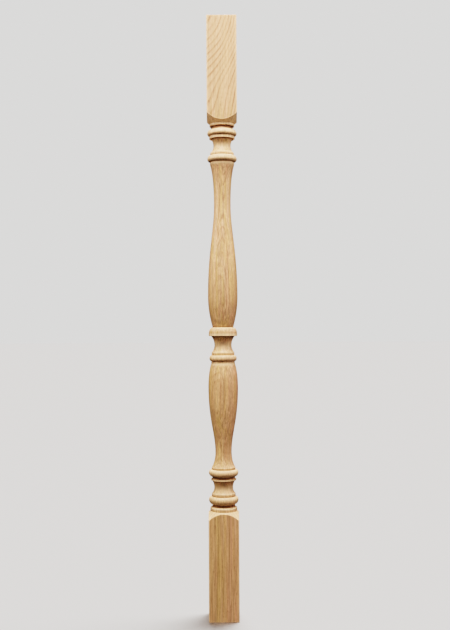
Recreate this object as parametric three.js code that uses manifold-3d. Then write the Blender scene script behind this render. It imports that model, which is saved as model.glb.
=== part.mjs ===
// A turned newel post in plain oak: a square block at each end, and between them a shaft of two long
// vases with rings, beads, coves and fillets. It is one piece of wood, and it is made here as it is on a
// lathe: a square stock, cut by the surface that the turning sweeps out.
// Units are millimetres, +Z is up, and the origin is the middle of the underside.

import * as THREE from "three";
import { mergeVertices } from "three/addons/utils/BufferGeometryUtils.js";
import Module from "manifold-3d";

// The stock: a 3 inch square with its long edges eased. The widest turned parts are skimmed just inside
// its flats, and the turning's outline passes clear of its edges where it is left square.
const stockWidth = 76.2;
const arrisRadius = 1.2;
const turningSkim = 0.4;
const edgeClearance = 5;

// The lengths left square, measured on the long edges
const bottomSquareLength = 251;
const topSquareLength = 246.9;

// The shoulders, where the turning runs out into the square
const bottomShoulderRise = 20;
const topShoulderRise = 23.6;
const shoulderBulge = 1.2;
const shoulderStep = 0.8;

// Depths of cut that several members share. The fillet and the beads are measured from the widest turned
// parts, and the recess under a bead from the fillet.
const filletDepth = 7.6;
const beadDepth = 0.3;
const recessStep = 1.4;

// The foot: a ring on the shoulder, a bead, and a cove below a thin fillet
const footRingDepth = 3.7;
const footRingBand = 5.5;
const footRingRound = 4.5;
const footRecessRise = 6.5;
const footBeadLower = 11.4;
const footBeadUpper = 8;
const footFilletRise = 7.1;
const footCoveDepth = 6.4;
const footCoveLower = 14.6;
const footCoveUpper = 18.5;
const footCoveLedge = 2.6;
const thinFilletDepth = 5.9;
const thinFilletRise = 3.9;

// The bead that carries the lower vase
const vaseBeadRecessRise = 5.7;
const vaseBeadLower = 10.1;
const vaseBeadUpper = 7.9;
const vaseFilletRise = 4.8;

// The lower vase
const lowerVaseNeckDepth = 9.45;
const lowerVaseFlareRise = 39.3;
const lowerVaseFlareCurl = 0.39;
const lowerVaseSwellRise = 161.9;
const lowerVaseHeadRise = 61.8;
const lowerVaseHeadCurl = 0.36;
const lowerVaseLipRise = 2.5;
const lowerVaseLipRound = 2.8;

// The middle: a bead and a cove below the upright ring
const middleBeadDepth = 3;
const middleBeadLower = 8;
const middleBeadUpper = 7.7;
const middleFilletDepth = 8.7;
const middleFilletRise = 7;
const middleCoveDepth = 7.4;
const middleCoveLower = 18.8;
const middleCoveUpper = 23;
const middleRingDepth = 1.6;
const middleRingLedge = 6;
const middleRingBand = 5.7;
const middleRingRound = 16.3;

// The upper vase
const upperVaseFootDepth = 10;
const upperVaseFootRise = 78.2;
const upperVaseFootCurl = 0.51;
const upperVaseSwellRise = 234.5;
const upperVaseNeckDepth = 10.2;
const upperVaseFlareRise = 104.5;
const upperVaseFlareCurl = 0.3;
const upperVaseLipDepth = 6.3;
const upperVaseLipRound = 5;

// The head: two beads with a cove and a collar between them, and a fillet under the top shoulder
const headBeadLower = 7;
const headBeadUpper = 9.5;
const headFilletRise = 7;
const headCoveDepth = 8.3;
const headCoveLower = 17;
const headCoveUpper = 18.9;
const collarDepth = 5.2;
const collarLedge = 5;
const collarRise = 6.9;
const crownBeadLower = 6.2;
const crownBeadUpper = 10.2;
const crownRecessDepth = 12.4;
const crownRecessRise = 8.8;
const crownFilletDepth = 6.1;
const crownFilletRise = 5.5;

// How far a vase's outline leaves its belly and its neck upright, as shares of the rise between them
const bellyPull = 0.5;
const neckPull = 0.28;

// How finely the rounds are cut
const turningSegments = 40;
const arrisSteps = 2;
const shoulderSteps = 3;
const roundSteps = 3;
const coveSteps = 3;
const flareSteps = 4;
const swellSteps = 8;

const halfWidth = stockWidth / 2;
const edgeRadius = Math.hypot(halfWidth, halfWidth);
const clearRadius = edgeRadius + edgeClearance;

const fullRadius = halfWidth - turningSkim;
const beadRadius = fullRadius - beadDepth;
const filletRadius = fullRadius - filletDepth;
const recessRadius = filletRadius - recessStep;

// The turned outline is drawn upwards from the foot: x is the radius and y the height.
const outline = [new THREE.Vector2(0, 0)];

function currentPoint() {
  return outline[outline.length - 1];
}

// A straight cut, to a radius and some way further up
function cutTo(radius, rise) {
  outline.push(new THREE.Vector2(radius, currentPoint().y + rise));
}

// Follows a curve without repeating the point it starts from
function follow(curve, steps) {
  outline.push(...curve.getPoints(steps).slice(1));
}

// A quarter of an ellipse that ends upright: the lower half of a bead
function roundOut(radius, rise) {
  const start = currentPoint();
  const sweep = new THREE.EllipseCurve(start.x, start.y + rise, radius - start.x, rise, -Math.PI / 2, 0);
  follow(sweep, roundSteps);
}

// A quarter of an ellipse that starts upright: the upper half of a bead
function roundIn(radius, rise) {
  const start = currentPoint();
  const sweep = new THREE.EllipseCurve(radius, start.y, start.x - radius, rise, 0, Math.PI / 2);
  follow(sweep, roundSteps);
}

function bead(radius, lowerRise, upperRise, endRadius) {
  roundOut(radius, lowerRise);
  roundIn(endRadius, upperRise);
}

// The radius of an arc that leaves a neck upright and moves out by depth over rise
function arcRadius(depth, rise) {
  return (rise * rise + depth * depth) / (2 * depth);
}

// A cove of two arcs that meet upright at its neck
function cove(neckRadius, lowerRise, upperRise, endRadius) {
  const start = currentPoint();
  const neckHeight = start.y + lowerRise;
  const lower = arcRadius(start.x - neckRadius, lowerRise);
  const upper = arcRadius(endRadius - neckRadius, upperRise);
  const lowerAngle = Math.atan2(lowerRise, lower - start.x + neckRadius);
  const upperAngle = Math.atan2(upperRise, upper - endRadius + neckRadius);
  const below = new THREE.EllipseCurve(
    neckRadius + lower, neckHeight, lower, lower, Math.PI + lowerAngle, Math.PI, true);
  const above = new THREE.EllipseCurve(
    neckRadius + upper, neckHeight, upper, upper, Math.PI, Math.PI - upperAngle, true);
  follow(below, coveSteps);
  follow(above, coveSteps);
}

// A curve between a vase's edge and an upright tangent. Its two end tangents meet at the share curl of
// the rise, counted from the edge: flareIn starts at the edge, and flareOut ends at it.
function flareIn(radius, rise, curl) {
  const start = currentPoint();
  const elbow = new THREE.Vector2(radius, start.y + rise * curl);
  const end = new THREE.Vector2(radius, start.y + rise);
  follow(new THREE.QuadraticBezierCurve(start, elbow, end), flareSteps);
}

function flareOut(radius, rise, curl) {
  const start = currentPoint();
  const elbow = new THREE.Vector2(start.x, start.y + rise * (1 - curl));
  const end = new THREE.Vector2(radius, start.y + rise);
  follow(new THREE.QuadraticBezierCurve(start, elbow, end), flareSteps);
}

// The long run between a neck and a belly, upright at both
function swell(radius, rise, startPull, endPull) {
  const start = currentPoint();
  const end = new THREE.Vector2(radius, start.y + rise);
  const leaving = new THREE.Vector2(start.x, start.y + rise * startPull);
  const arriving = new THREE.Vector2(end.x, end.y - rise * endPull);
  follow(new THREE.CubicBezierCurve(start, leaving, arriving, end), swellSteps);
}

// A shoulder between the stock's edges and the turning: nearly a straight cone, bulging outwards by the
// shoulder's bulge at the middle
function shoulder(radius, rise) {
  const start = currentPoint();
  const end = new THREE.Vector2(radius, start.y + rise);
  const chord = new THREE.Vector2().subVectors(end, start);
  const outward = new THREE.Vector2(chord.y, -chord.x).normalize();
  const elbow = new THREE.Vector2().addVectors(start, end).multiplyScalar(0.5);
  elbow.addScaledVector(outward, 2 * shoulderBulge);
  follow(new THREE.QuadraticBezierCurve(start, elbow, end), shoulderSteps);
}

function drawBottomBlock() {
  cutTo(clearRadius, 0);
  cutTo(clearRadius, bottomSquareLength);
  cutTo(edgeRadius, 0);
}

function drawFoot() {
  const ringRadius = fullRadius - footRingDepth;
  const thinFilletRadius = fullRadius - thinFilletDepth;
  shoulder(ringRadius - shoulderStep, bottomShoulderRise);
  cutTo(ringRadius, 0);
  cutTo(ringRadius, footRingBand);
  roundIn(recessRadius, footRingRound);
  cutTo(recessRadius, footRecessRise);
  bead(beadRadius, footBeadLower, footBeadUpper, filletRadius);
  cutTo(filletRadius, footFilletRise);
  cove(filletRadius - footCoveDepth, footCoveLower, footCoveUpper, thinFilletRadius - footCoveLedge);
  cutTo(thinFilletRadius, 0);
  cutTo(thinFilletRadius, thinFilletRise);
}

function drawVaseBead() {
  cutTo(recessRadius, 0);
  cutTo(recessRadius, vaseBeadRecessRise);
  bead(beadRadius, vaseBeadLower, vaseBeadUpper, filletRadius);
  cutTo(filletRadius, vaseFilletRise);
}

function drawLowerVase() {
  flareIn(filletRadius - lowerVaseNeckDepth, lowerVaseFlareRise, lowerVaseFlareCurl);
  swell(fullRadius, lowerVaseSwellRise, neckPull, bellyPull);
  flareOut(filletRadius, lowerVaseHeadRise, lowerVaseHeadCurl);
  cutTo(filletRadius, lowerVaseLipRise);
  roundIn(recessRadius, lowerVaseLipRound);
}

function drawMiddle() {
  const neckFilletRadius = fullRadius - middleFilletDepth;
  const ringRadius = fullRadius - middleRingDepth;
  bead(fullRadius - middleBeadDepth, middleBeadLower, middleBeadUpper, neckFilletRadius);
  cutTo(neckFilletRadius, middleFilletRise);
  cove(neckFilletRadius - middleCoveDepth, middleCoveLower, middleCoveUpper, ringRadius - middleRingLedge);
  cutTo(ringRadius, 0);
  cutTo(ringRadius, middleRingBand);
  roundIn(ringRadius - upperVaseFootDepth, middleRingRound);
}

function drawUpperVase() {
  const lipRadius = fullRadius - upperVaseLipDepth;
  flareIn(fullRadius, upperVaseFootRise, upperVaseFootCurl);
  swell(lipRadius - upperVaseNeckDepth, upperVaseSwellRise, bellyPull, neckPull);
  flareOut(lipRadius, upperVaseFlareRise, upperVaseFlareCurl);
  roundIn(recessRadius, upperVaseLipRound);
}

function drawHead() {
  const collarRadius = fullRadius - collarDepth;
  const crownRadius = fullRadius - crownFilletDepth;
  bead(fullRadius, headBeadLower, headBeadUpper, filletRadius);
  cutTo(filletRadius, headFilletRise);
  cove(filletRadius - headCoveDepth, headCoveLower, headCoveUpper, collarRadius - collarLedge);
  cutTo(collarRadius, 0);
  cutTo(collarRadius, collarRise);
  cutTo(recessRadius, 0);
  bead(fullRadius, crownBeadLower, crownBeadUpper, recessRadius);
  cutTo(fullRadius - crownRecessDepth, crownRecessRise);
  cutTo(crownRadius, 0);
  cutTo(crownRadius, crownFilletRise);
  cutTo(crownRadius - shoulderStep, 0);
  shoulder(edgeRadius, topShoulderRise);
}

function drawTopBlock() {
  cutTo(clearRadius, 0);
  cutTo(clearRadius, topSquareLength);
  cutTo(0, 0);
}

drawBottomBlock();
drawFoot();
drawVaseBead();
drawLowerVase();
drawMiddle();
drawUpperVase();
drawHead();
drawTopBlock();
const postHeight = currentPoint().y;

// The turning, as a closed surface about the Z axis
function turningGeometry() {
  return new THREE.LatheGeometry(outline, turningSegments).rotateX(Math.PI / 2);
}

// The stock runs past both ends of the turning, whose flat ends cut it to length.
function stockGeometry() {
  const overrun = stockWidth;
  const depth = postHeight + 2 * overrun;
  const centre = halfWidth - arrisRadius;
  const section = new THREE.Shape();
  section.absarc(centre, centre, arrisRadius, 0, Math.PI / 2);
  section.absarc(-centre, centre, arrisRadius, Math.PI / 2, Math.PI);
  section.absarc(-centre, -centre, arrisRadius, Math.PI, 1.5 * Math.PI);
  section.absarc(centre, -centre, arrisRadius, 1.5 * Math.PI, 2 * Math.PI);
  const options = { depth, bevelEnabled: false, curveSegments: arrisSteps };
  return new THREE.ExtrudeGeometry(section, options).translate(0, 0, -overrun);
}

const wasm = await Module();
wasm.setup();

// A solid from a closed geometry: shared vertices are merged, and the triangles that collapse on the
// axis are dropped.
function solidFrom(geometry) {
  geometry.deleteAttribute("normal");
  geometry.deleteAttribute("uv");
  const merged = mergeVertices(geometry);
  const corners = merged.index.array;
  const kept = [];
  for (let i = 0; i < corners.length; i += 3) {
    const [a, b, c] = corners.subarray(i, i + 3);
    if (a !== b && b !== c && c !== a) kept.push(a, b, c);
  }
  const vertProperties = new Float32Array(merged.attributes.position.array);
  const triVerts = new Uint32Array(kept);
  return new wasm.Manifold(new wasm.Mesh({ numProp: 3, vertProperties, triVerts }));
}

function geometryFrom(solid) {
  const mesh = solid.getMesh();
  const geometry = new THREE.BufferGeometry();
  geometry.setAttribute("position", new THREE.BufferAttribute(mesh.vertProperties, 3));
  geometry.setIndex(new THREE.BufferAttribute(mesh.triVerts, 1));
  geometry.computeVertexNormals();
  return geometry;
}

const oak = new THREE.MeshStandardMaterial({ color: 0xd7b083, roughness: 0.6, metalness: 0 });

const post = solidFrom(turningGeometry()).intersect(solidFrom(stockGeometry()));
const newelPost = new THREE.Mesh(geometryFrom(post), oak);
newelPost.name = "newel_post";

const model = new THREE.Group();
model.add(newelPost);

export default model;
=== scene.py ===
"""Looks of a turned newel post in bare oak, standing on a pale floor.

The post's sizes are in millimetres, as on the turner's rod, and become metres where its mesh is made.
The lengths in the wood, the lamps and the camera are in metres. The post is one closed surface: a
square block at each end and the turned members between them, drawn from the foot up.
"""

import math
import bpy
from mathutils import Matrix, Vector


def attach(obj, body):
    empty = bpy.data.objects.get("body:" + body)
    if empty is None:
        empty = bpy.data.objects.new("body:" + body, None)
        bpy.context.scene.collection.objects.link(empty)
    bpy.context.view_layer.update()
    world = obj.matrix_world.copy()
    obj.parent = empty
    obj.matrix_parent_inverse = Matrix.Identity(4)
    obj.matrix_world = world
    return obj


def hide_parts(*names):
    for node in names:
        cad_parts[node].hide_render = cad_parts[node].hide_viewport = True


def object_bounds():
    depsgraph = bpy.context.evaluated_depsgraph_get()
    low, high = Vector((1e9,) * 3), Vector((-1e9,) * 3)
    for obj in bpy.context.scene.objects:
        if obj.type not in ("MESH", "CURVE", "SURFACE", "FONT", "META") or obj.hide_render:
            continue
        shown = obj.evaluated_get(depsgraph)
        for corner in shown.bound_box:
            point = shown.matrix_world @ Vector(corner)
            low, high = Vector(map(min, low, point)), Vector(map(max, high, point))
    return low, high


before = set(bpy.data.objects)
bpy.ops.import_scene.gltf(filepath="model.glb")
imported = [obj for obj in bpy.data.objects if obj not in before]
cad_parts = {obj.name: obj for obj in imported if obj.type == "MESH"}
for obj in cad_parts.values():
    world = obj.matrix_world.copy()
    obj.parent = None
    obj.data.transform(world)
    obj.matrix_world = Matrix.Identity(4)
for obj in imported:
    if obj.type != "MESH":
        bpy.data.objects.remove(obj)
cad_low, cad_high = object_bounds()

from types import SimpleNamespace

import bpy
import numpy as np
from mathutils import Matrix

METRE = 0.001

# The stock and its shoulders
STOCK_WIDTH = 76.2
ARRIS_RADIUS = 1.2
TURNING_SKIM = 0.4
BOTTOM_SQUARE = 251
TOP_SQUARE = 246.9
BOTTOM_SHOULDER = 20
TOP_SHOULDER = 23.6
SHOULDER_BULGE = 1.2
SHOULDER_STEP = 0.8
END_EASE = 0.6

# Radii that several members share
HALF_WIDTH = STOCK_WIDTH / 2
EDGE_RADIUS = math.hypot(HALF_WIDTH, HALF_WIDTH)
FULL_RADIUS = HALF_WIDTH - TURNING_SKIM
BEAD_RADIUS = FULL_RADIUS - 0.3
FILLET_RADIUS = FULL_RADIUS - 7.6
RECESS_RADIUS = FILLET_RADIUS - 1.4
FOOT_RING_RADIUS = FULL_RADIUS - 3.7
THIN_FILLET_RADIUS = FULL_RADIUS - 5.9
MIDDLE_FILLET_RADIUS = FULL_RADIUS - 8.7
MIDDLE_RING_RADIUS = FULL_RADIUS - 1.6
VASE_LIP_RADIUS = FULL_RADIUS - 6.3
COLLAR_RADIUS = FULL_RADIUS - 5.2
CROWN_FILLET_RADIUS = FULL_RADIUS - 6.1
CROWN_RECESS_RADIUS = FULL_RADIUS - 12.4

# The foot
FOOT_RING_BAND = 5.5
FOOT_RING_ROUND = 4.5
FOOT_RECESS_RISE = 6.5
FOOT_BEAD_LOWER = 11.4
FOOT_BEAD_UPPER = 8
FOOT_FILLET_RISE = 7.1
FOOT_COVE_DEPTH = 6.4
FOOT_COVE_LOWER = 14.6
FOOT_COVE_UPPER = 18.5
FOOT_COVE_LEDGE = 2.6
THIN_FILLET_RISE = 3.9

# The lower vase and the bead that carries it
VASE_RECESS_RISE = 5.7
VASE_BEAD_LOWER = 10.1
VASE_BEAD_UPPER = 7.9
VASE_FILLET_RISE = 4.8
LOWER_NECK_DEPTH = 9.45
LOWER_NECK_RISE = 39.3
LOWER_NECK_CURL = 0.39
LOWER_BELLY_RISE = 161.9
LOWER_HEAD_RISE = 61.8
LOWER_HEAD_CURL = 0.36
LOWER_LIP_RISE = 2.5
LOWER_LIP_ROUND = 2.8

# The members between the vases
MIDDLE_BEAD_DEPTH = 3
MIDDLE_BEAD_LOWER = 8
MIDDLE_BEAD_UPPER = 7.7
MIDDLE_FILLET_RISE = 7
MIDDLE_COVE_DEPTH = 7.4
MIDDLE_COVE_LOWER = 18.8
MIDDLE_COVE_UPPER = 23
MIDDLE_RING_LEDGE = 6
MIDDLE_RING_BAND = 5.7
MIDDLE_RING_DEPTH = 10
MIDDLE_RING_ROUND = 16.3

# The upper vase
UPPER_FOOT_RISE = 78.2
UPPER_FOOT_CURL = 0.51
UPPER_NECK_DEPTH = 10.2
UPPER_NECK_RISE = 234.5
UPPER_LIP_RISE = 104.5
UPPER_LIP_CURL = 0.3
UPPER_LIP_ROUND = 5

# The head
HEAD_BEAD_LOWER = 7
HEAD_BEAD_UPPER = 9.5
HEAD_FILLET_RISE = 7
HEAD_COVE_DEPTH = 8.3
HEAD_COVE_LOWER = 17
HEAD_COVE_UPPER = 18.9
COLLAR_LEDGE = 5
COLLAR_RISE = 6.9
CROWN_BEAD_LOWER = 6.2
CROWN_BEAD_UPPER = 10.2
CROWN_RECESS_RISE = 8.8
CROWN_FILLET_RISE = 5.5

# How far a vase stays upright at its belly and its neck, as shares of the rise between them
BELLY_PULL = 0.5
NECK_PULL = 0.28

# Turned corners are softened by sanding, over this reach but no more than a share of the steps beside
CORNER_REACH = 0.45
CORNER_SHARE = 0.4
CORNER_TURN = math.radians(24)
SAME_POINT = 1e-6

# Height left free between a block's evenly shared rows and the shoulder or the end beside them
BLOCK_ROW_GAP = 2.2

# Steps of the surface
FLAT_STEPS = 38
ARRIS_STEPS = 5
BLOCK_STEPS = 14
SHOULDER_STEPS = 9
ROUND_STEPS = 8
COVE_STEPS = 8
FLARE_STEPS = 18
SWELL_STEPS = 28
CORNER_STEPS = 3
CAP_STEPS = 4

# Stretches over which a row counts as sunk in a groove or standing out as a bead, and the steps in which
# the mean radius of such a stretch is summed along the whole turning
GROOVE_REACH = 3.5
BEAD_REACH = 9.0
MEAN_STEPS = 6000

# How much painted light pales the shoulders, narrow crests, slopes that face up and coves, and how strong
# the painted highlight on the vases' rims is
SHOULDER_PAINTED_LIGHT = 2.0
CREST_HIGHLIGHT = 3
SLOPE_PAINTED_LIGHT = 2.2
COVE_PAINTED_LIGHT = 1.9
RIM_HIGHLIGHT = 1.5

# How far the painted light of a rim and of a cove reaches up and down
RIM_REACH = 3.0
COVE_REACH = 12.0

# Edges sharper than this keep their crease, and broad faces outweigh small ones beside them
SHARP_TURN = math.radians(32)
FACE_WEIGHT = 60


def linear(red, green, blue):
    """An sRGB colour from 0 to 255 as linear values, by the 2.4 power law with its straight foot."""
    shares = np.array([red, green, blue]) / 255
    values = np.where(shares <= 0.04045, shares / 12.92, ((shares + 0.055) / 1.055) ** 2.4)
    return (*values.tolist(), 1.0)


def bezier(points, steps):
    """Points of a Bezier curve after its first: each is the sum of the control points, weighted by the
    binomial terms of the share run so far and the share left."""
    points = np.asarray(points, float)
    degree = len(points) - 1
    run = np.linspace(0, 1, steps + 1)[1:, None]
    terms = [math.comb(degree, k) * run**k * (1 - run) ** (degree - k) for k in range(degree + 1)]
    return sum(term * point for term, point in zip(terms, points))


class Turning:
    """A turned outline drawn upwards, as rows of radius and height. It also keeps the heights of the
    vases' rims and of the coves' necks."""

    def __init__(self, radius, height):
        self.runs = [np.array([[radius, height]], float)]
        self.rims = []
        self.necks = []

    @property
    def here(self):
        """Radius and height of the last point."""
        return self.runs[-1][-1]

    def cut(self, radius, rise):
        """A straight cut."""
        self.runs.append(np.array([[radius, self.here[1] + rise]]))

    def step(self, radius):
        """A level cut in or out."""
        self.cut(radius, 0)

    def rim(self):
        """Marks an edge that gets a painted highlight, with some pale wear."""
        self.rims.append(self.here[1])

    def round_out(self, radius, rise):
        """Quarter ellipse that ends upright: radius by the sine, height by one minus the cosine."""
        start = self.here
        turn = np.linspace(0, np.pi / 2, ROUND_STEPS + 1)[1:]
        radii = start[0] + (radius - start[0]) * np.sin(turn)
        self.runs.append(np.stack([radii, start[1] + rise * (1 - np.cos(turn))], 1))

    def round_in(self, radius, rise):
        """Quarter ellipse that starts upright: radius by the cosine, height by the sine."""
        start = self.here
        turn = np.linspace(0, np.pi / 2, ROUND_STEPS + 1)[1:]
        radii = radius + (start[0] - radius) * np.cos(turn)
        self.runs.append(np.stack([radii, start[1] + rise * np.sin(turn)], 1))

    def bead(self, radius, lower, upper, end_radius):
        """Quarter ellipse out to the crest, and another back in to the end radius."""
        self.round_out(radius, lower)
        self.round_in(end_radius, upper)

    def cove(self, neck_radius, lower, upper, end_radius):
        """Two arcs that meet upright at the neck. An arc that moves out by d over a rise h has the
        radius (h squared + d squared) / 2d, and its points follow the angle from the neck."""
        start = self.here
        neck_height = start[1] + lower
        self.necks.append(neck_height)
        below = (start[0] - neck_radius, lower, -1)
        above = (end_radius - neck_radius, upper, 1)
        for depth, rise, side in (below, above):
            radius = (rise * rise + depth * depth) / (2 * depth)
            spread = math.asin(min(1, rise / radius))
            angles = np.linspace(0, spread, COVE_STEPS + 1)
            angles = angles[::-1][1:] if side < 0 else angles[1:]
            radii = neck_radius + radius * (1 - np.cos(angles))
            self.runs.append(np.stack([radii, neck_height + side * radius * np.sin(angles)], 1))

    def flare_in(self, radius, rise, curl):
        """Quadratic curve from an edge to an upright tangent, its elbow at the share curl of the rise."""
        start = self.here
        elbow = (radius, start[1] + rise * curl)
        end = (radius, start[1] + rise)
        self.runs.append(bezier([start, elbow, end], FLARE_STEPS))

    def flare_out(self, radius, rise, curl):
        """Quadratic curve from an upright tangent to an edge, its elbow at the share curl below the
        edge."""
        start = self.here
        elbow = (start[0], start[1] + rise * (1 - curl))
        end = (radius, start[1] + rise)
        self.runs.append(bezier([start, elbow, end], FLARE_STEPS))

    def swell(self, radius, rise, start_pull, end_pull):
        """Cubic curve between a neck and a belly, upright at both."""
        start = self.here
        end = np.array([radius, start[1] + rise])
        leaving = (start[0], start[1] + rise * start_pull)
        arriving = (radius, end[1] - rise * end_pull)
        self.runs.append(bezier([start, leaving, arriving, end], SWELL_STEPS))

    def rows(self):
        """Every point of the outline, from the foot up."""
        return np.concatenate(self.runs)


def draw_foot(post):
    """The ring on the lower shoulder, a bead, and a cove below a thin fillet."""
    post.step(FOOT_RING_RADIUS)
    post.cut(FOOT_RING_RADIUS, FOOT_RING_BAND)
    post.round_in(RECESS_RADIUS, FOOT_RING_ROUND)
    post.cut(RECESS_RADIUS, FOOT_RECESS_RISE)
    post.bead(BEAD_RADIUS, FOOT_BEAD_LOWER, FOOT_BEAD_UPPER, FILLET_RADIUS)
    post.cut(FILLET_RADIUS, FOOT_FILLET_RISE)
    neck_radius = FILLET_RADIUS - FOOT_COVE_DEPTH
    post.cove(neck_radius, FOOT_COVE_LOWER, FOOT_COVE_UPPER, THIN_FILLET_RADIUS - FOOT_COVE_LEDGE)
    post.step(THIN_FILLET_RADIUS)
    post.cut(THIN_FILLET_RADIUS, THIN_FILLET_RISE)


def draw_lower_vase(post):
    """The bead that carries the lower vase, its flare, its belly and its head."""
    post.step(RECESS_RADIUS)
    post.cut(RECESS_RADIUS, VASE_RECESS_RISE)
    post.bead(BEAD_RADIUS, VASE_BEAD_LOWER, VASE_BEAD_UPPER, FILLET_RADIUS)
    post.cut(FILLET_RADIUS, VASE_FILLET_RISE)
    post.flare_in(FILLET_RADIUS - LOWER_NECK_DEPTH, LOWER_NECK_RISE, LOWER_NECK_CURL)
    post.swell(FULL_RADIUS, LOWER_BELLY_RISE, NECK_PULL, BELLY_PULL)
    post.flare_out(FILLET_RADIUS, LOWER_HEAD_RISE, LOWER_HEAD_CURL)
    post.rim()
    post.cut(FILLET_RADIUS, LOWER_LIP_RISE)
    post.round_in(RECESS_RADIUS, LOWER_LIP_ROUND)


def draw_middle(post):
    """A bead and a cove below the upright ring."""
    crest_radius = FULL_RADIUS - MIDDLE_BEAD_DEPTH
    post.bead(crest_radius, MIDDLE_BEAD_LOWER, MIDDLE_BEAD_UPPER, MIDDLE_FILLET_RADIUS)
    post.cut(MIDDLE_FILLET_RADIUS, MIDDLE_FILLET_RISE)
    neck_radius = MIDDLE_FILLET_RADIUS - MIDDLE_COVE_DEPTH
    ledge_radius = MIDDLE_RING_RADIUS - MIDDLE_RING_LEDGE
    post.cove(neck_radius, MIDDLE_COVE_LOWER, MIDDLE_COVE_UPPER, ledge_radius)
    post.step(MIDDLE_RING_RADIUS)
    post.cut(MIDDLE_RING_RADIUS, MIDDLE_RING_BAND)
    post.round_in(MIDDLE_RING_RADIUS - MIDDLE_RING_DEPTH, MIDDLE_RING_ROUND)


def draw_upper_vase(post):
    """The long vase: its foot in the ring, its belly, its neck and its flaring lip."""
    post.flare_in(FULL_RADIUS, UPPER_FOOT_RISE, UPPER_FOOT_CURL)
    post.swell(VASE_LIP_RADIUS - UPPER_NECK_DEPTH, UPPER_NECK_RISE, BELLY_PULL, NECK_PULL)
    post.flare_out(VASE_LIP_RADIUS, UPPER_LIP_RISE, UPPER_LIP_CURL)
    post.rim()
    post.round_in(RECESS_RADIUS, UPPER_LIP_ROUND)


def draw_head(post):
    """Two beads with a cove and a collar between them, and the fillet under the upper shoulder."""
    post.bead(FULL_RADIUS, HEAD_BEAD_LOWER, HEAD_BEAD_UPPER, FILLET_RADIUS)
    post.cut(FILLET_RADIUS, HEAD_FILLET_RISE)
    neck_radius = FILLET_RADIUS - HEAD_COVE_DEPTH
    post.cove(neck_radius, HEAD_COVE_LOWER, HEAD_COVE_UPPER, COLLAR_RADIUS - COLLAR_LEDGE)
    post.step(COLLAR_RADIUS)
    post.cut(COLLAR_RADIUS, COLLAR_RISE)
    post.step(RECESS_RADIUS)
    post.bead(FULL_RADIUS, CROWN_BEAD_LOWER, CROWN_BEAD_UPPER, RECESS_RADIUS)
    post.cut(CROWN_RECESS_RADIUS, CROWN_RECESS_RISE)
    post.step(CROWN_FILLET_RADIUS)
    post.cut(CROWN_FILLET_RADIUS, CROWN_FILLET_RISE)
    post.step(CROWN_FILLET_RADIUS - SHOULDER_STEP)


def softened(rows):
    """The outline with its corners rounded off by sanding: where it turns by more than CORNER_TURN, the
    corner becomes a quadratic curve between points up to CORNER_REACH before and after it."""
    before = rows[:-2] - rows[1:-1]
    after = rows[2:] - rows[1:-1]
    before_length = np.linalg.norm(before, axis=1, keepdims=True)
    after_length = np.linalg.norm(after, axis=1, keepdims=True)
    cosine = -(before * after).sum(1) / (before_length * after_length)[:, 0]
    corner = np.arccos(np.clip(cosine, -1, 1)) > CORNER_TURN
    reach = np.minimum(CORNER_REACH, CORNER_SHARE * np.minimum(before_length, after_length))
    reach = reach * corner[:, None]
    start = (rows[1:-1] + before / before_length * reach)[:, None]
    end = (rows[1:-1] + after / after_length * reach)[:, None]
    middle = rows[1:-1][:, None]
    run = np.linspace(0, 1, CORNER_STEPS + 1)[None, :, None]
    curves = (1 - run) ** 2 * start + 2 * run * (1 - run) * middle + run**2 * end
    points = np.concatenate([rows[:1], curves.reshape(-1, 2), rows[-1:]])
    moved = np.linalg.norm(np.diff(points, axis=0), axis=1) > SAME_POINT
    return points[np.concatenate([[True], moved])]


def square_columns():
    """Angles and radii round the stock's section: each flat in equal angles between its arrises, each
    arris as a quarter circle about its own centre."""
    centre = HALF_WIDTH - ARRIS_RADIUS
    flat_end = math.atan2(centre, HALF_WIDTH)
    flat = np.linspace(-flat_end, flat_end, FLAT_STEPS + 1)
    turn = np.linspace(0, np.pi / 2, ARRIS_STEPS + 1)[1:-1]
    arris_x = centre + ARRIS_RADIUS * np.cos(turn)
    arris_y = centre + ARRIS_RADIUS * np.sin(turn)
    angles = np.concatenate([flat, np.arctan2(arris_y, arris_x)])
    radii = np.concatenate([HALF_WIDTH / np.cos(flat), np.hypot(arris_x, arris_y)])
    turns = np.arange(4)[:, None] * np.pi / 2
    return (angles + turns).ravel(), np.tile(radii, 4)


def shoulder_rows(start, end, square, square_at_start):
    """The shoulder's rows on each column. The shoulder is a quadratic curve of radius and height, its
    elbow pushed out from the chord by twice the bulge. Each column joins it where its radius is the
    stock's: the root of the quadratic formula that lies between the curve's ends."""
    start, end = np.array(start, float), np.array(end, float)
    chord = end - start
    outward = np.array([chord[1], -chord[0]]) / np.hypot(*chord)
    elbow = (start + end) / 2 + 2 * SHOULDER_BULGE * outward
    bend = start[0] - 2 * elbow[0] + end[0]
    slope = elbow[0] - start[0]
    root = np.sqrt(slope**2 - bend * (start[0] - square))
    if square_at_start:
        root = -root
    joined = (-slope + root) / bend
    joined = np.where((joined < 0) | (joined > 1), (-slope - root) / bend, joined)
    if square_at_start:
        first, last = joined, np.ones_like(joined)
    else:
        first, last = np.zeros_like(joined), joined
    share = np.linspace(0, 1, SHOULDER_STEPS + 1)[:, None]
    run = first + (last - first) * share
    weights = ((1 - run) ** 2, 2 * run * (1 - run), run**2)
    points = (start, elbow, end)
    return tuple(sum(weight * point[axis] for weight, point in zip(weights, points)) for axis in (0, 1))


def standing_out(rows, reach):
    """How far each row stands out from the mean radius of the stretch within reach above and below it:
    the outline's running sum of radii, taken at both ends of the stretch."""
    fine = np.linspace(rows[0, 1] - reach, rows[-1, 1] + reach, MEAN_STEPS)
    radii = np.interp(fine, rows[:, 1], rows[:, 0])
    area = np.cumsum(radii) * (fine[1] - fine[0])
    above = np.interp(rows[:, 1] + reach, fine, area)
    below = np.interp(rows[:, 1] - reach, fine, area)
    return rows[:, 0] - (above - below) / (2 * reach)


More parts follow.
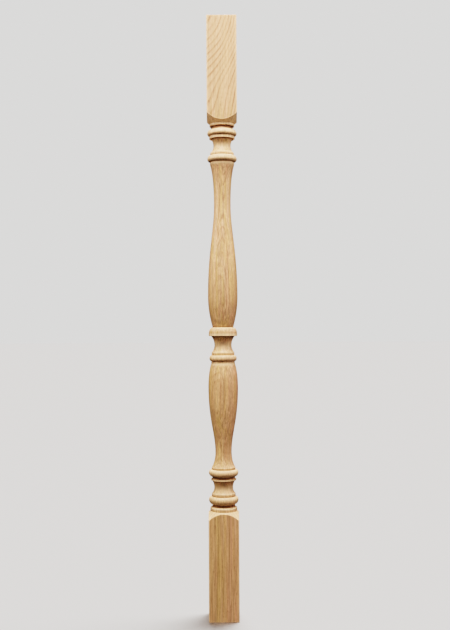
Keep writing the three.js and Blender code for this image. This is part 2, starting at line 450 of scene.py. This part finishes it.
def facing_up(rows):
    """How far each row faces up: the sine of the outline's lean between the rows beside it."""
    lean = np.gradient(rows, axis=0)
    return np.clip(-lean[:, 0] / np.hypot(lean[:, 0], lean[:, 1]), 0, 1)


def bells(heights, centres, reach):
    """Sum of bell curves about the centres, each e to the minus square of the distance over reach."""
    return sum(np.exp(-((heights - centre) / reach) ** 2) for centre in centres)


def marks_and_painted_light(shape, square, turned, turning, first, last, ends):
    """What the wood's looks read at every point of the surface, where turned rows run from first to last.

    groove is how far a turned row lies below the mean radius of the narrow stretch around it, and sets
    the painted shade in grooves. The painted light that pales a row is the largest of its standing out
    from a broad stretch and from a narrow one, its facing up and its nearness to a cove's neck, with one
    value for both shoulders. turned is one on turned rows. edge is one on the arrises, on the rows of the
    eased ends and where a shoulder meets the flats, and a bell curve about each of the vases' rims: where
    a painted highlight and some pale wear go."""
    groove, painted_paleness, mask, edge = np.zeros((4, *shape))
    crest = standing_out(turned, GROOVE_REACH)
    # Painted shade: how far a turned row lies below its neighbours sets how dark its groove is painted
    groove[first:last] = -crest[:, None]

    # Painted light: crests, slopes that face up, coves and both shoulders are painted paler, as if lit
    hollow = bells(turned[:, 1], turning.necks, COVE_REACH)
    pale = [standing_out(turned, BEAD_REACH), CREST_HIGHLIGHT * crest]
    pale += [SLOPE_PAINTED_LIGHT * facing_up(turned), COVE_PAINTED_LIGHT * hollow]
    painted_paleness[first - SHOULDER_STEPS:last + SHOULDER_STEPS] = SHOULDER_PAINTED_LIGHT
    painted_paleness[first:last] = np.max(pale, axis=0)[:, None]

    mask[first:last] = 1

    # Painted highlight, with some pale wear: the arrises, the arches, the eased ends and the vases' rims
    edge[:, square > EDGE_RADIUS - 2 * ARRIS_RADIUS] = 1
    edge[[first - SHOULDER_STEPS - 1, last + SHOULDER_STEPS]] = 1
    edge[first:last] = RIM_HIGHLIGHT * bells(turned[:, 1:], turning.rims, RIM_REACH)
    for rows in ends:
        edge[rows] = 1
    return {"groove": groove, "painted_paleness": painted_paleness, "turned": mask, "edge": edge}


def post_surface():
    """Angles of the columns, radii and heights of the rows on each column from the underside up, the
    marks that the wood's looks read, painted light and shade among them, and the post's height.

    Block rows keep the stock's radius and share out the height between the eased end and the arch where
    the shoulder begins. Eased ends are quarter circles, and the flat ends run in to the axis. Turned
    rows have one radius all round."""
    angles, square = square_columns()
    foot_radius = FOOT_RING_RADIUS - SHOULDER_STEP
    foot_height = BOTTOM_SQUARE + BOTTOM_SHOULDER
    turning = Turning(foot_radius, foot_height)
    for draw in (draw_foot, draw_lower_vase, draw_middle, draw_upper_vase, draw_head):
        draw(turning)
    neck_radius, neck_height = turning.here
    arch_height = neck_height + TOP_SHOULDER
    height = arch_height + TOP_SQUARE
    turned = softened(turning.rows())[1:-1]
    lower_shoulder = shoulder_rows((EDGE_RADIUS, BOTTOM_SQUARE), (foot_radius, foot_height), square, True)
    upper_shoulder = shoulder_rows((neck_radius, neck_height), (EDGE_RADIUS, arch_height), square, False)

    ones = np.ones_like(square)
    cap = np.linspace(0, 1, CAP_STEPS + 1)[1:-1, None] * (square - END_EASE)
    ease = np.linspace(0, np.pi / 2, CORNER_STEPS + 1)[:, None]
    ease_radii = square - END_EASE * (1 - np.sin(ease))
    ease_heights = END_EASE * (1 - np.cos(ease)) * ones
    share = np.linspace(0, 1, BLOCK_STEPS + 1)[:, None]
    block_radii = square * np.ones_like(share)
    arch = lower_shoulder[1][0]
    lower_block = END_EASE + BLOCK_ROW_GAP + (arch - END_EASE - 2 * BLOCK_ROW_GAP) * share
    arch = upper_shoulder[1][-1]
    upper_block = arch + BLOCK_ROW_GAP + (height - END_EASE - 2 * BLOCK_ROW_GAP - arch) * share

    radii = np.concatenate([
        cap, ease_radii, block_radii, lower_shoulder[0], turned[:, :1] * ones,
        upper_shoulder[0], block_radii, ease_radii[::-1], cap[::-1]])
    heights = np.concatenate([
        0 * cap, ease_heights, lower_block, lower_shoulder[1], turned[:, 1:] * ones,
        upper_shoulder[1], upper_block, height - ease_heights[::-1], height + 0 * cap])

    end_rows = len(cap) + len(ease_radii)
    ends = (slice(len(cap), end_rows), slice(-end_rows, -len(cap)))
    first = end_rows + len(share) + len(lower_shoulder[0])
    last = first + len(turned)
    marks = marks_and_painted_light(radii.shape, square, turned, turning, first, last, ends)
    return angles, radii, heights, marks, height


def grid_mesh(name, angles, radii, heights, top):
    """A closed mesh: the rows of quads go round the axis, and a fan closes each end at its middle."""
    rows, columns = radii.shape
    ring = np.stack([radii * np.cos(angles), radii * np.sin(angles), heights], -1).reshape(-1, 3)
    vertices = np.concatenate([ring, [[0, 0, 0], [0, 0, top]]]) * METRE
    row = np.arange(rows - 1)[:, None] * columns
    above = row + columns
    here = np.arange(columns)[None, :]
    there = np.roll(here, -1, axis=1)
    quads = np.stack([row + here, row + there, above + there, above + here], -1).reshape(-1, 4)
    here, there = here[0], there[0]
    last = (rows - 1) * columns
    foot = np.stack([np.full(columns, len(ring)), there, here], -1)
    head = np.stack([np.full(columns, len(ring) + 1), last + here, last + there], -1)
    mesh = bpy.data.meshes.new(name)
    mesh.from_pydata(vertices.tolist(), [], quads.tolist() + foot.tolist() + head.tolist())
    mesh.update()
    return mesh


def vertex_value(mesh, name, values):
    """Keeps one number for each vertex of the grid, with none at the two poles."""
    attribute = mesh.attributes.new(name, "FLOAT", "POINT")
    attribute.data.foreach_set("value", np.concatenate([values.ravel(), [0, 0]]).astype(np.float32))


def add_piece(mesh, material):
    """An object at the origin with this mesh and material."""
    piece = bpy.data.objects.new(mesh.name, mesh)
    bpy.context.collection.objects.link(piece)
    mesh.materials.append(material)
    return piece


class Shader:
    """Builds a material's nodes from plain words, so that each line reads as a formula."""

    def __init__(self, name):
        self.material = bpy.data.materials.new(name)
        self.material.use_nodes = True
        self.tree = self.material.node_tree
        self.surface = self.tree.nodes["Principled BSDF"]

    def put(self, socket, value):
        """Links another node's output to the socket, or sets a constant on it."""
        if isinstance(value, bpy.types.NodeSocket):
            self.tree.links.new(value, socket)
        elif value is not None:
            socket.default_value = value

    def math(self, operation, a, b=None):
        node = self.tree.nodes.new("ShaderNodeMath")
        node.operation = operation
        self.put(node.inputs[0], a)
        self.put(node.inputs[1], b)
        return node.outputs[0]

    def add(self, a, b):
        return self.math("ADD", a, b)

    def subtract(self, a, b):
        return self.math("SUBTRACT", a, b)

    def times(self, a, b):
        return self.math("MULTIPLY", a, b)

    def smooth(self, value, window, results=(0.0, 1.0)):
        """A soft step: the first result below the window, the second above it."""
        node = self.tree.nodes.new("ShaderNodeMapRange")
        node.interpolation_type = "SMOOTHSTEP"
        for socket, number in zip(node.inputs, (value, *window, *results)):
            self.put(socket, number)
        return node.outputs[0]

    def vector(self, x, y, z):
        node = self.tree.nodes.new("ShaderNodeCombineXYZ")
        for socket, value in zip(node.inputs, (x, y, z)):
            self.put(socket, value)
        return node.outputs[0]

    def split(self, vector):
        node = self.tree.nodes.new("ShaderNodeSeparateXYZ")
        self.put(node.inputs[0], vector)
        return node.outputs

    def stretched(self, vector, sizes, offset=(0, 0, 0)):
        """The vector counted in steps of the three sizes, in metres. The offset keeps one noise from
        repeating another."""
        node = self.tree.nodes.new("ShaderNodeMapping")
        self.put(node.inputs["Vector"], vector)
        node.inputs["Scale"].default_value = [1 / size for size in sizes]
        node.inputs["Location"].default_value = offset
        return node.outputs[0]

    def noise(self, vector, detail=2.0, roughness=0.5):
        """Soft noise around one half, with one hump to each step."""
        node = self.tree.nodes.new("ShaderNodeTexNoise")
        self.put(node.inputs["Vector"], vector)
        node.inputs["Scale"].default_value = 1
        node.inputs["Detail"].default_value = detail
        node.inputs["Roughness"].default_value = roughness
        return node.outputs[0]

    def cells(self, vector):
        """Distance to the nearest of scattered points, one to each step."""
        node = self.tree.nodes.new("ShaderNodeTexVoronoi")
        self.put(node.inputs["Vector"], vector)
        node.inputs["Scale"].default_value = 1
        return node.outputs["Distance"]

    def attribute(self, name):
        """A number kept in the mesh."""
        node = self.tree.nodes.new("ShaderNodeAttribute")
        node.attribute_name = name
        return node.outputs["Fac"]

    def mix(self, share, first, second, blend="MIX"):
        """The first colour, with a share of the second blended over it."""
        node = self.tree.nodes.new("ShaderNodeMix")
        node.data_type = "RGBA"
        node.blend_type = blend
        self.put(node.inputs[0], share)
        self.put(node.inputs[6], first)
        self.put(node.inputs[7], second)
        return node.outputs[2]

    def bump(self, height, distance):
        """A normal tilted by the slope of the height, which is counted in steps of the distance."""
        node = self.tree.nodes.new("ShaderNodeBump")
        self.put(node.inputs["Height"], height)
        node.inputs["Distance"].default_value = distance
        node.inputs["Strength"].default_value = 1.0
        return node.outputs[0]


# Where the log's pith runs, in metres: well behind the post, crossing from its right to its left on the
# way up, and coming forward where the grain of the upper block leans
PITH_X = (0.090, -0.060)
CROSSING = (0.50, 1.34)
PITH_Y = 0.197
LEAN = (1.296, 1.546)
LEAN_DEPTH = 0.0275
RING_STEP = 0.0029

# How far the rings and the fibres sway, and the radius at which the log's girth is measured
SWAY = 0.010
RIPPLE = 0.0015
BEND = 0.010
GIRTH_RADIUS = 0.235

# Lengths over which the wood varies, in metres: sideways, back and forth, and up
SWAY_SIZES = (0.05, 0.05, 0.21)
RIPPLE_SIZES = (0.010, 0.010, 0.055)
BEND_SIZES = (0.06, 0.06, 0.30)
PINK_SIZES = (0.007, 0.007, 0.20)
YELLOW_SIZES = (0.006, 0.008, 0.26)
FIBRE_SIZES = (0.0026, 0.0026, 0.05)
STREAK_SIZES = (0.0036, 0.0036, 0.36)
MOTTLE_SIZES = (0.0034, 0.0034, 0.0075)
HAIR_SIZES = (0.0006, 0.0006, 0.022)
DASH_SIZES = (0.0021, 0.0021, 0.011)
PORE_SIZES = (0.00075, 0.00075, 0.007)
TOOL_SIZES = (1, 1, 0.0011)

# The same for what follows the rings: along them, out from the pith, and up
YEAR_SIZES = (1, 0.0045, 1)
FADING_SIZES = (0.03, 0.02, 0.16)
RAY_SIZES = (0.0005, 0.009, 0.006)

# Stretches of a noise over which what it draws goes from its least to its most
WIDE_WINDOW = (0.3, 0.7)
YEAR_WINDOW = (0.32, 0.62)
PINK_WINDOW = (0.42, 0.66)
YELLOW_WINDOW = (0.44, 0.66)
STREAK_WINDOW = (0.34, 0.66)
MOTTLE_WINDOW = (0.32, 0.68)
RAY_WINDOW = (0.62, 0.74)
DASH_WINDOW = (0.55, 0.72)

# Distance from a pore's middle, in steps of the pores, over which it ends
PORE_WINDOW = (0.10, 0.24)

# Heights between which the wood changes, in metres: the calm grain of the upper block begins, its rings
# grow stronger, the two tints of the lower part fade out, and the mottle above the lower block begins
CALM_HEIGHTS = (1.24, 1.32)
STRONG_HEIGHTS = (1.2, 1.3)
TINT_HEIGHTS = (0.45, 1.1)
MOTTLE_HEIGHTS = (0.24, 0.30)

# What is left of the sway and of the grain's shade on the upper block, of the rings below it, and of the
# mottle on the lower block
CALM_SWAY = 0.25
CALM_GRAIN = 0.5
LOWER_RINGS = 0.88
LOWER_MOTTLE = 0.4

# Shares of a ring's width over which its early wood sets in and dies away
EARLY_RISE = (0.0, 0.14)
EARLY_FALL = (0.18, 0.56)

# Strength of the rings in faint and full years, and in faint and full stretches of one ring
YEAR_STRENGTHS = (0.2, 1.0)
FADING_STRENGTHS = (0.45, 1.0)

# The lower part is yellower on its left and pinker on its right: where one tint gives way to the other,
# the share of both, and the share of such a tint in a patch
TINT_SIDES = (-0.018, 0.022)
TINT_SHARE = 0.35
PATCH_SHARE = 0.75

# Factors from the darkest to the palest grain, and what the mottle adds
FIBRE_SHADES = (0.76, 1.16)
HAIR_SHADES = (0.95, 1.04)
MOTTLE_SHADES = (-0.12, 0.09)

# Painted light and shade along the post, from how the light falls on it: darker towards the foot, darker
# at the upper vase's foot, which faces down, paler above where the vase faces up, and a little darker
# again from its neck up. Each step goes between two heights, from one factor to another
PAINTED_LIGHT_STEPS = (
    ((0.15, 0.8), (0.92, 1.0)),
    ((0.70, 0.74), (1.0, 0.87)),
    ((0.76, 0.93), (1.0, 1.27)),
    ((1.0, 1.12), (1.0, 0.87)),
)

# How much of its own tone a ray fleck, a dash and a pore shows at most
RAY_SHARE = 0.5
DASH_SHARE = 0.55
PORE_SHARE = 0.62

# How far into early wood dashes and pores grow to full strength, from what shows of them in late wood
DASH_EARLY = (0.1, 0.7)
DASH_STRENGTHS = (0.4, 1.0)
PORE_EARLY = (0.1, 0.6)
PORE_STRENGTHS = (0.15, 1.0)

# Depth of a groove in millimetres over which its painted shade sets in, and the same for how strongly a
# row is painted pale.
# Then the shares of the pale tone of painted light on such rows and of the painted highlight, with some
# pale wear, on edges, and of the grain's shade on such rows
GROOVE_WINDOW = (0.2, 2.6)
PAINTED_LIGHT_WINDOW = (0.3, 2.8)
PAINTED_LIGHT_SHARE = 0.78
EDGE_HIGHLIGHT_SHARE = 0.5
PAINTED_LIGHT_GRAIN = 0.7

# End grain shows to this depth from each end, in metres, with this share of its tone
END_DEPTH = 0.0008
END_SHARE = 0.8

# Roughness of the smoothest and the roughest fibres, what pores add, and what turning takes away
FIBRE_ROUGHNESS = (0.52, 0.62)
PORE_ROUGHNESS = 0.2
TURNED_POLISH = 0.12
SPECULAR_LEVEL = 0.4

# Depth of a pore in metres, and the relief of hairs and tool marks as shares of it
RELIEF_DEPTH = 0.00012
HAIR_RELIEF = 0.35
TOOL_RELIEF = 0.35

# Tones of the oak
LATE_TONE = linear(216, 181, 142)
EARLY_TONE = linear(150, 110, 77)
YELLOW_TONE = linear(211, 179, 120)
PINK_TONE = linear(212, 163, 130)
PORE_TONE = linear(104, 70, 42)
RAY_TONE = linear(226, 196, 160)
# Painted shade in the grooves
GROOVE_SHADE_TONE = linear(128, 92, 64)
END_TONE = linear(196, 160, 120)
# Pale tone of the painted light and highlights, and of the pale wear on edges
PAINTED_LIGHT_TONE = linear(253, 224, 181)

# Results of a soft step that ends instead of beginning
FADES = (1.0, 0.0)


def log_places(wood):
    """Where a point lies in the log: x and z as in the post, radial as its distance from the pith with
    some sway, rings as the place along the ring, out from the pith and up, and fibres as the place
    across the fibres, which bend a little. lively is how much the grain varies at that height."""
    place = wood.tree.nodes.new("ShaderNodeTexCoord").outputs["Object"]
    x, y, z = wood.split(place)
    side = wood.subtract(x, wood.smooth(z, CROSSING, PITH_X))
    back = wood.subtract(wood.smooth(z, LEAN, (PITH_Y, PITH_Y - LEAN_DEPTH)), y)
    distance = wood.math("SQRT", wood.add(wood.times(side, side), wood.times(back, back)))
    sway = wood.noise(wood.stretched(place, SWAY_SIZES), detail=1.0)
    ripple = wood.noise(wood.stretched(place, RIPPLE_SIZES, (3, 1, 7)))
    lively = wood.smooth(z, CALM_HEIGHTS, (1.0, CALM_SWAY))
    sway = wood.add(wood.times(sway, SWAY), wood.times(ripple, RIPPLE))
    radial = wood.add(distance, wood.times(sway, lively))
    around = wood.times(wood.math("ARCTAN2", side, back), GIRTH_RADIUS)
    rings = wood.vector(around, radial, z)
    bend = wood.noise(wood.stretched(place, BEND_SIZES, (5, 5, 2)), detail=1.0)
    fibres = wood.vector(wood.add(x, wood.times(bend, BEND)), y, z)
    return SimpleNamespace(x=x, z=z, radial=radial, rings=rings, fibres=fibres, lively=lively)


def early_wood(wood, log):
    """How far a point lies in early wood: a sawtooth of the distance from the pith, with a steep rise
    and a slow fall."""
    ring = wood.math("FRACT", wood.math("DIVIDE", log.radial, RING_STEP))
    return wood.times(wood.smooth(ring, EARLY_RISE), wood.smooth(ring, EARLY_FALL, FADES))


def ring_colour(wood, log, early):
    """Late wood with early wood over it, whose strength differs from year to year and along the ring."""
    years = wood.stretched(wood.vector(0.0, log.radial, 0.0), YEAR_SIZES, (0, 5, 0))
    year = wood.smooth(wood.noise(years, detail=1.0), YEAR_WINDOW, YEAR_STRENGTHS)
    fading = wood.noise(wood.stretched(log.rings, FADING_SIZES, (9, 2, 4)))
    fading = wood.times(fading, wood.smooth(log.z, STRONG_HEIGHTS, (LOWER_RINGS, 1.0)))
    strength = wood.times(year, wood.smooth(fading, WIDE_WINDOW, FADING_STRENGTHS))
    return wood.mix(wood.times(early, strength), LATE_TONE, EARLY_TONE)


def tinted(wood, log, colour):
    """The colour with long pink and yellow patches, and a yellow and a pink side to the lower part."""
    patches = wood.noise(wood.stretched(log.fibres, PINK_SIZES, (2, 8, 1)))
    patches = wood.times(wood.smooth(patches, PINK_WINDOW, (0.0, PATCH_SHARE)), log.lively)
    colour = wood.mix(patches, colour, PINK_TONE)
    patches = wood.noise(wood.stretched(log.fibres, YELLOW_SIZES, (7, 3, 6)))
    patches = wood.times(wood.smooth(patches, YELLOW_WINDOW, (0.0, PATCH_SHARE)), log.lively)
    colour = wood.mix(patches, colour, YELLOW_TONE)

    low = wood.smooth(log.z, TINT_HEIGHTS, FADES)
    right = wood.smooth(log.x, TINT_SIDES)
    left = wood.subtract(1.0, right)
    colour = wood.mix(wood.times(wood.times(low, right), TINT_SHARE), colour, PINK_TONE)
    return wood.mix(wood.times(wood.times(low, left), TINT_SHARE), colour, YELLOW_TONE)


def grain_and_painted_light(wood, log, fibre, hair):
    """A factor near one, from coarse fibres, long streaks, short mottles, the painted light and shade in
    steps along the post, and the finest hairs."""
    shade = wood.smooth(fibre, WIDE_WINDOW, FIBRE_SHADES)
    streaks = wood.noise(wood.stretched(log.fibres, STREAK_SIZES, (8, 6, 3)), detail=3.0, roughness=0.65)
    shade = wood.times(shade, wood.smooth(streaks, STREAK_WINDOW, FIBRE_SHADES))
    mottle = wood.noise(wood.stretched(log.fibres, MOTTLE_SIZES, (3, 7, 5)), roughness=0.6)
    mottle = wood.smooth(mottle, MOTTLE_WINDOW, MOTTLE_SHADES)
    mottle = wood.times(mottle, wood.smooth(log.z, MOTTLE_HEIGHTS, (LOWER_MOTTLE, 1.0)))
    shade = wood.times(shade, wood.add(1.0, mottle))
    # Painted light and shade along the post
    for heights, factors in PAINTED_LIGHT_STEPS:
        shade = wood.times(shade, wood.smooth(log.z, heights, factors))
    return wood.times(shade, wood.smooth(hair, WIDE_WINDOW, HAIR_SHADES))


def open_pores(wood, log, early):
    """Short streaks about scattered points, stretched along the fibres and strongest in early wood."""
    pores = wood.cells(wood.stretched(log.fibres, PORE_SIZES, (1, 2, 3)))
    pores = wood.smooth(pores, PORE_WINDOW, FADES)
    return wood.times(pores, wood.smooth(early, PORE_EARLY, PORE_STRENGTHS))


def flecked(wood, log, colour, early, pores):
    """The colour with pale ray flecks, dark dashes that crowd in the early wood, and pores."""
    rays = wood.noise(wood.stretched(log.rings, RAY_SIZES, (6, 2, 3)), detail=1.0)
    colour = wood.mix(wood.smooth(rays, RAY_WINDOW, (0.0, RAY_SHARE)), colour, RAY_TONE)
    dashes = wood.noise(wood.stretched(log.fibres, DASH_SIZES, (5, 9, 2)), roughness=0.6)
    dashes = wood.times(wood.smooth(dashes, DASH_WINDOW), wood.smooth(early, DASH_EARLY, DASH_STRENGTHS))
    colour = wood.mix(wood.times(dashes, DASH_SHARE), colour, PORE_TONE)
    return wood.mix(wood.times(pores, PORE_SHARE), colour, PORE_TONE)


def with_painted_shade_and_light(wood, colour, grain):
    """The colour with painted shade darkening the grooves and painted light paling the crests, shoulders,
    upward slopes and coves, where the grain still shows, and a painted highlight, with some pale wear, on
    the edges and rims."""
    # Painted shade in the grooves
    sunk = wood.smooth(wood.attribute("groove"), GROOVE_WINDOW)
    colour = wood.mix(sunk, colour, GROOVE_SHADE_TONE, "MULTIPLY")
    # Painted light on crests, upward slopes, coves and shoulders, with the grain laid back over it
    lit_share = wood.smooth(wood.attribute("painted_paleness"), PAINTED_LIGHT_WINDOW, (0.0, PAINTED_LIGHT_SHARE))
    colour = wood.mix(lit_share, colour, PAINTED_LIGHT_TONE)
    colour = wood.mix(wood.times(lit_share, PAINTED_LIGHT_GRAIN), colour, grain, "MULTIPLY")
    # Painted highlight, with some pale wear, on edges and rims
    return wood.mix(wood.times(wood.attribute("edge"), EDGE_HIGHLIGHT_SHARE), colour, PAINTED_LIGHT_TONE)


def end_grain(wood, log, colour):
    """The colour with a darker tone in a thin layer at both ends."""
    top = cad_high[2]
    lower = wood.smooth(log.z, (0.0, END_DEPTH), FADES)
    upper = wood.smooth(log.z, (top - END_DEPTH, top))
    return wood.mix(wood.times(wood.add(lower, upper), END_SHARE), colour, END_TONE, "MULTIPLY")


def oak():
    """Bare oak, turned and smoothed with sandpaper, worked out in the log's own coordinates: rings about
    the pith, fibres up the post, pores in the early wood and rays along the radius. Painted light and
    shade are laid over it."""
    wood = Shader("oak")
    log = log_places(wood)
    early = early_wood(wood, log)
    fibre = wood.noise(wood.stretched(log.fibres, FIBRE_SIZES, (1, 1, 1)), detail=3.0, roughness=0.6)
    hair = wood.noise(wood.stretched(log.fibres, HAIR_SIZES, (4, 4, 4)), roughness=0.6)
    pores = open_pores(wood, log, early)
    # The grain's shade, with the painted light and shade along the post in it
    shade = grain_and_painted_light(wood, log, fibre, hair)
    grain = wood.vector(shade, shade, shade)

    colour = tinted(wood, log, ring_colour(wood, log, early))
    colour = wood.mix(wood.smooth(log.z, CALM_HEIGHTS, (1.0, CALM_GRAIN)), colour, grain, "MULTIPLY")
    colour = flecked(wood, log, colour, early, pores)
    colour = end_grain(wood, log, with_painted_shade_and_light(wood, colour, grain))
    wood.put(wood.surface.inputs["Base Color"], colour)

    turned = wood.attribute("turned")
    roughness = wood.smooth(fibre, WIDE_WINDOW, FIBRE_ROUGHNESS)
    roughness = wood.add(roughness, wood.times(pores, PORE_ROUGHNESS))
    roughness = wood.subtract(roughness, wood.times(turned, TURNED_POLISH))
    wood.put(wood.surface.inputs["Roughness"], roughness)
    wood.put(wood.surface.inputs["Specular IOR Level"], SPECULAR_LEVEL)

    tool = wood.noise(wood.stretched(wood.vector(0.0, 0.0, log.z), TOOL_SIZES, (0, 0, 5)))
    tool = wood.times(tool, turned)
    relief = wood.add(wood.times(hair, HAIR_RELIEF), wood.times(tool, TOOL_RELIEF))
    wood.put(wood.surface.inputs["Normal"], wood.bump(wood.subtract(relief, pores), RELIEF_DEPTH))
    return wood.material


def build_post():
    """The whole post as one piece, in place of the solid."""
    angles, radii, heights, marks, top = post_surface()
    mesh = grid_mesh("oak_newel_post", angles, radii, heights, top)
    for name, values in marks.items():
        vertex_value(mesh, name, values)
    mesh.polygons.foreach_set("use_smooth", np.ones(len(mesh.polygons), bool))
    mesh.set_sharp_from_angle(angle=SHARP_TURN)
    piece = add_piece(mesh, oak())
    weighted = piece.modifiers.new("flat_faces_stay_flat", "WEIGHTED_NORMAL")
    weighted.keep_sharp = True
    weighted.weight = FACE_WEIGHT
    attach(piece, "root")
    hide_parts("newel_post")
    return piece


FLOOR_RADIUS = 90.0
FLOOR_SIDES = 96
FLOOR_TONE = (0.76, 0.75, 0.735, 1.0)
FLOOR_ROUGHNESS = 0.9
FLOOR_SPECULAR_LEVEL = 0.1
BACKDROP_TONE = (0.95, 0.94, 0.92, 1.0)
LAMP_TONE = (1.0, 0.78, 0.67)

# Points on the axis that the lamps aim at: in the upper vase's neck, and in its foot near mid height
UPPER_AIM = (0, 0, 1.1)
MIDDLE_AIM = (0, 0, 0.8)

# The post's lamps: where each stands, what it aims at, its width and height in metres, and its watts
LAMPS = {
    "key": ((-0.1, -1.25, 3.2), UPPER_AIM, (1.1, 0.8), 130),
    "left_fill": ((-1.9, -0.25, 1.8), MIDDLE_AIM, (0.8, 1.0), 26),
    "right_fill": ((1.9, -0.25, 1.8), MIDDLE_AIM, (0.8, 1.0), 26),
    "front_fill": ((0.15, -2.2, 1.4), MIDDLE_AIM, (0.6, 0.4), 13),
    "back_fill": ((0.1, 1.3, 3.1), UPPER_AIM, (1.1, 0.40), 115),
}

# The floor's own light: its watts to a square metre, then its width and its tilt in degrees
FLOOR_LIGHT_POWER = 3.9
FLOOR_LIGHT_WIDTH = 40
FLOOR_LIGHT_TILT = (-20, 12)

# The world's dim light: the upward part of a ray's direction, and the strength it goes with
SKY_WINDOW = (-0.5, 0.9)
SKY_STRENGTHS = (0.0, 0.2)


def build_floor():
    """A pale disc that the camera sees, and that takes the post's shadow without lighting the post."""
    turn = np.linspace(0, 2 * np.pi, FLOOR_SIDES + 1)[:-1]
    rim = np.stack([FLOOR_RADIUS * np.cos(turn), FLOOR_RADIUS * np.sin(turn), 0 * turn], 1)
    mesh = bpy.data.meshes.new("floor")
    mesh.from_pydata(rim.tolist(), [], [list(range(FLOOR_SIDES))])
    shader = Shader("pale_floor")
    shader.surface.inputs["Base Color"].default_value = FLOOR_TONE
    shader.surface.inputs["Roughness"].default_value = FLOOR_ROUGHNESS
    shader.surface.inputs["Specular IOR Level"].default_value = FLOOR_SPECULAR_LEVEL
    floor = add_piece(mesh, shader.material)
    floor.visible_diffuse = False
    floor.visible_glossy = False
    return floor


def light_only(light, receiver):
    """The light falls on this object alone."""
    group = bpy.data.collections.new(light.name + "_falls_on")
    group.objects.link(receiver)
    light.light_linking.receiver_collection = group


def area_light(name, place, aim, size, power, receiver):
    """A rectangle of light at a place, turned to face the aim: first pitched up or down by the slope of
    the line between them, then turned about the vertical."""
    data = bpy.data.lights.new(name, "AREA")
    data.shape = "RECTANGLE"
    data.size, data.size_y = size
    data.energy = power
    data.color = LAMP_TONE
    light = bpy.data.objects.new(name, data)
    bpy.context.collection.objects.link(light)
    direction = np.subtract(aim, place)
    yaw = math.atan2(direction[0], direction[1])
    pitch = math.atan2(direction[2], math.hypot(direction[0], direction[1]))
    upright = Matrix.Rotation(math.pi / 2 + pitch, 4, "X")
    light.matrix_world = Matrix.Translation(place) @ Matrix.Rotation(-yaw, 4, "Z") @ upright
    light.visible_camera = False
    light_only(light, receiver)


def build_lights(post, floor):
    """A broad soft light high in front, a weaker one on each side, a faint one low in front, and one high
    behind. The floor has an even light of its own."""
    for name, (place, aim, size, power) in LAMPS.items():
        area_light(name, place, aim, size, power, post)
    sun = bpy.data.lights.new("floor_light", "SUN")
    sun.energy = FLOOR_LIGHT_POWER
    sun.angle = math.radians(FLOOR_LIGHT_WIDTH)
    lamp = bpy.data.objects.new("floor_light", sun)
    bpy.context.collection.objects.link(lamp)
    lamp.rotation_euler = (*np.radians(FLOOR_LIGHT_TILT), 0)
    light_only(lamp, floor)


def build_world():
    """A pale backdrop to look at. What it adds to the light is dim, and dimmer from below."""
    world = bpy.data.worlds.new("studio")
    bpy.context.scene.world = world
    world.use_nodes = True
    tree = world.node_tree
    seen = tree.nodes["Background"]
    seen.inputs["Color"].default_value = BACKDROP_TONE
    seen.inputs["Strength"].default_value = 1
    split = tree.nodes.new("ShaderNodeSeparateXYZ")
    tree.links.new(tree.nodes.new("ShaderNodeTexCoord").outputs["Generated"], split.inputs[0])
    sky = tree.nodes.new("ShaderNodeMapRange")
    tree.links.new(split.outputs["Z"], sky.inputs["Value"])
    sky.inputs["From Min"].default_value, sky.inputs["From Max"].default_value = SKY_WINDOW
    sky.inputs["To Min"].default_value, sky.inputs["To Max"].default_value = SKY_STRENGTHS
    lit = tree.nodes.new("ShaderNodeBackground")
    lit.inputs["Color"].default_value = (*LAMP_TONE, 1.0)
    tree.links.new(sky.outputs[0], lit.inputs["Strength"])
    mix = tree.nodes.new("ShaderNodeMixShader")
    tree.links.new(tree.nodes.new("ShaderNodeLightPath").outputs["Is Camera Ray"], mix.inputs[0])
    tree.links.new(lit.outputs[0], mix.inputs[1])
    tree.links.new(seen.outputs[0], mix.inputs[2])
    tree.links.new(mix.outputs[0], tree.nodes["World Output"].inputs["Surface"])


# The photograph's frame and camera: its long side and focal length in pixels, the sensor in millimetres,
# then metres and degrees
FRAME_HEIGHT = 630
FOCAL_PIXELS = 880
SENSOR = 36.0
CAMERA_PLACE = (0.0055, -2.243, 0.7136)
CAMERA_PITCH = 1.334
CAMERA_ROLL = -0.30


def build_camera():
    """Looks along +Y at the post's front, a little upwards, from below its middle."""
    data = bpy.data.cameras.new("camera")
    data.sensor_width = SENSOR
    data.lens = FOCAL_PIXELS / FRAME_HEIGHT * SENSOR
    camera = bpy.data.objects.new("camera", data)
    bpy.context.collection.objects.link(camera)
    camera.matrix_world = (
        Matrix.Translation(CAMERA_PLACE)
        @ Matrix.Rotation(math.radians(90 + CAMERA_PITCH), 4, "X")
        @ Matrix.Rotation(math.radians(CAMERA_ROLL), 4, "Z"))
    data.clip_end = 2 * FLOOR_RADIUS
    bpy.context.scene.camera = camera


bpy.context.scene.view_settings.view_transform = "Filmic"
bpy.context.scene.view_settings.look = "High Contrast"
build_camera()
build_world()
newel_post = build_post()
build_lights(newel_post, build_floor())
